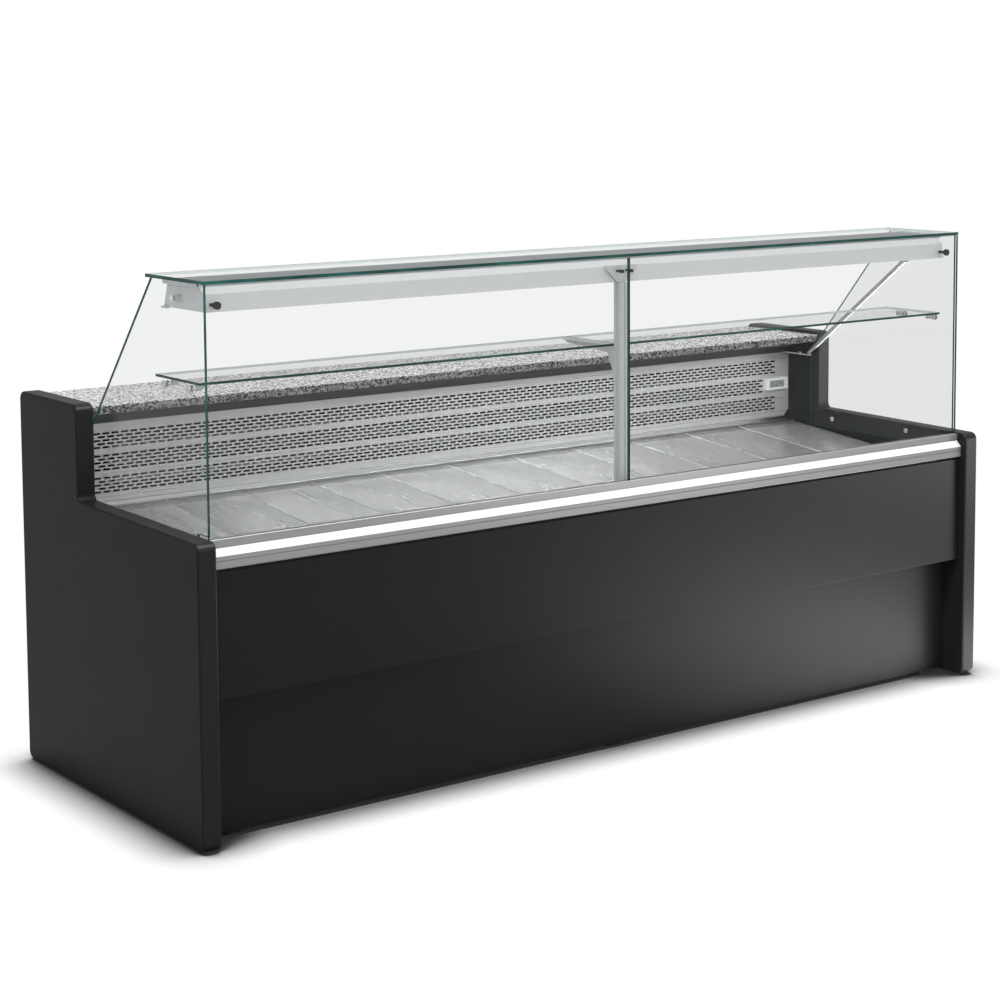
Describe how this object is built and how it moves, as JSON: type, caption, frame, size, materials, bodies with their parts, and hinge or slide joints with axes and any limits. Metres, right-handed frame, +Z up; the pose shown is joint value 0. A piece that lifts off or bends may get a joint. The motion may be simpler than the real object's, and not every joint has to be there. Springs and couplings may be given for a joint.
{
  "type": "refrigerated deli counter",
  "caption": "Long refrigerated serve-over deli case with upright tilting front glass, glass shelf, lamp canopy, stone rear worktop, sloping steel deck and chilled rear storage.",
  "frame": {"origin": "on the floor under the middle of the case", "axes": "+Z up, customer side faces -Y, operator side faces +Y, +X along the length to the customer's right"},
  "size_m": [2.5, 0.91, 1.27],
  "materials": {
    "black_panel": "satin black powder coat",
    "anodised": "satin anodised",
    "stainless": "brushed stainless",
    "galvanised": "galvanised sheet",
    "granite": "polished speckled granite",
    "clear_glass": "clear tempered glass",
    "light_grey_metal": "light grey paint",
    "chrome_steel": "polished",
    "black_rubber": "matte",
    "black_plastic": "matte",
    "white_plastic": "gloss",
    "opal_plastic": "opal",
    "lcd": "grey liquid crystal",
    "foam_panel": "pre-painted skin over foam",
    "door_skin": "satin dark paint",
    "compressor_black": "gloss black",
    "wire_rack": "white epoxy coat over wire",
    "frame_tube": "mill finish tube"
  },
  "bodies": {
    "case": {"end_panel_left": "black_panel", "end_panel_right": "black_panel", "upper_front_panel": "black_panel", "lower_front_panel": "black_panel", "front_profile": "anodised", "front_trim_strip": "white_plastic", "base_frame": "frame_tube", "levelling_feet": "black_plastic", "storage_cabinet": "foam_panel", "storage_racks": "wire_rack", "tub_floor": "foam_panel", "drain_outlet": "white_plastic", "tub_front_wall": "foam_panel", "rear_upper_wall": "foam_panel", "intake_grille": "stainless", "deck_trays": "stainless", "deck_rails": "galvanised", "rear_air_panel": "stainless", "rear_ledge": "stainless", "worktop_stone": "granite", "worktop_support": "frame_tube", "side_glass_left": "clear_glass", "side_glass_right": "clear_glass", "side_glass_screws": "chrome_steel", "top_glass": "clear_glass", "lamp_housing": "light_grey_metal", "lamp_diffuser": "opal_plastic", "lamp_end_caps": "light_grey_metal", "glass_buffers": "black_rubber", "centre_post": "light_grey_metal", "post_brackets": "light_grey_metal", "shelf_glass_left": "clear_glass", "shelf_glass_right": "clear_glass", "shelf_supports": "chrome_steel", "lamp_stay": "chrome_steel", "display_bezel": "white_plastic", "display_screen": "lcd", "evaporator_coil": "anodised", "evaporator_fan_plate": "galvanised", "door_pivots": "galvanised", "service_grille": "door_skin", "cable_gland": "black_plastic", "control_panel": "white_plastic", "compressor": "compressor_black", "condenser_coil": "anodised", "condenser_shroud": "galvanised"},
    "front_glass_left": {"front_glass_left": "clear_glass", "glass_rail_left": "anodised"},
    "front_glass_right": {"front_glass_right": "clear_glass", "glass_rail_right": "anodised"},
    "door_1": {"door_1": "door_skin", "door_gasket_1": "black_rubber"},
    "door_2": {"door_2": "door_skin", "door_gasket_2": "black_rubber"},
    "door_3": {"door_3": "door_skin", "door_gasket_3": "black_rubber"},
    "evaporator_fan_1": {"evaporator_fan_1": "black_plastic"},
    "evaporator_fan_2": {"evaporator_fan_2": "black_plastic"},
    "condenser_fan": {"condenser_fan": "black_plastic"},
    "light_switch": {"light_switch": "black_plastic"}
  },
  "joints": [
    {"name": "front_glass_left_tilt", "type": "hinge", "parent": "case", "child": "front_glass_left", "pos_m": [-0.6, -0.415, 0.692], "axis": [1, 0, 0], "range_deg": [0, 42]},
    {"name": "front_glass_right_tilt", "type": "hinge", "parent": "case", "child": "front_glass_right", "pos_m": [0.6, -0.415, 0.692], "axis": [1, 0, 0], "range_deg": [0, 42]},
    {"name": "door_1_swing", "type": "hinge", "parent": "case", "child": "door_1", "pos_m": [-1.168, 0.419, 0.334], "axis": [0, 0, 1], "range_deg": [0, 100]},
    {"name": "door_2_swing", "type": "hinge", "parent": "case", "child": "door_2", "pos_m": [-0.54, 0.419, 0.334], "axis": [0, 0, 1], "range_deg": [0, 100]},
    {"name": "door_3_swing", "type": "hinge", "parent": "case", "child": "door_3", "pos_m": [0.68, 0.419, 0.334], "axis": [0, 0, -1], "range_deg": [0, 100]},
    {"name": "evaporator_fan_1_spin", "type": "hinge", "parent": "case", "child": "evaporator_fan_1", "pos_m": [-0.72, 0.331, 0.592], "axis": [0, 0, 1], "continuous": true},
    {"name": "evaporator_fan_2_spin", "type": "hinge", "parent": "case", "child": "evaporator_fan_2", "pos_m": [0.64, 0.331, 0.592], "axis": [0, 0, 1], "continuous": true},
    {"name": "condenser_fan_spin", "type": "hinge", "parent": "case", "child": "condenser_fan", "pos_m": [0.94, 0.267, 0.286], "axis": [0, 1, 0], "continuous": true},
    {"name": "light_switch_rock", "type": "hinge", "parent": "case", "child": "light_switch", "pos_m": [0.945, 0.445, 0.72], "axis": [1, 0, 0], "range_deg": [-8, 8]}
  ]
}
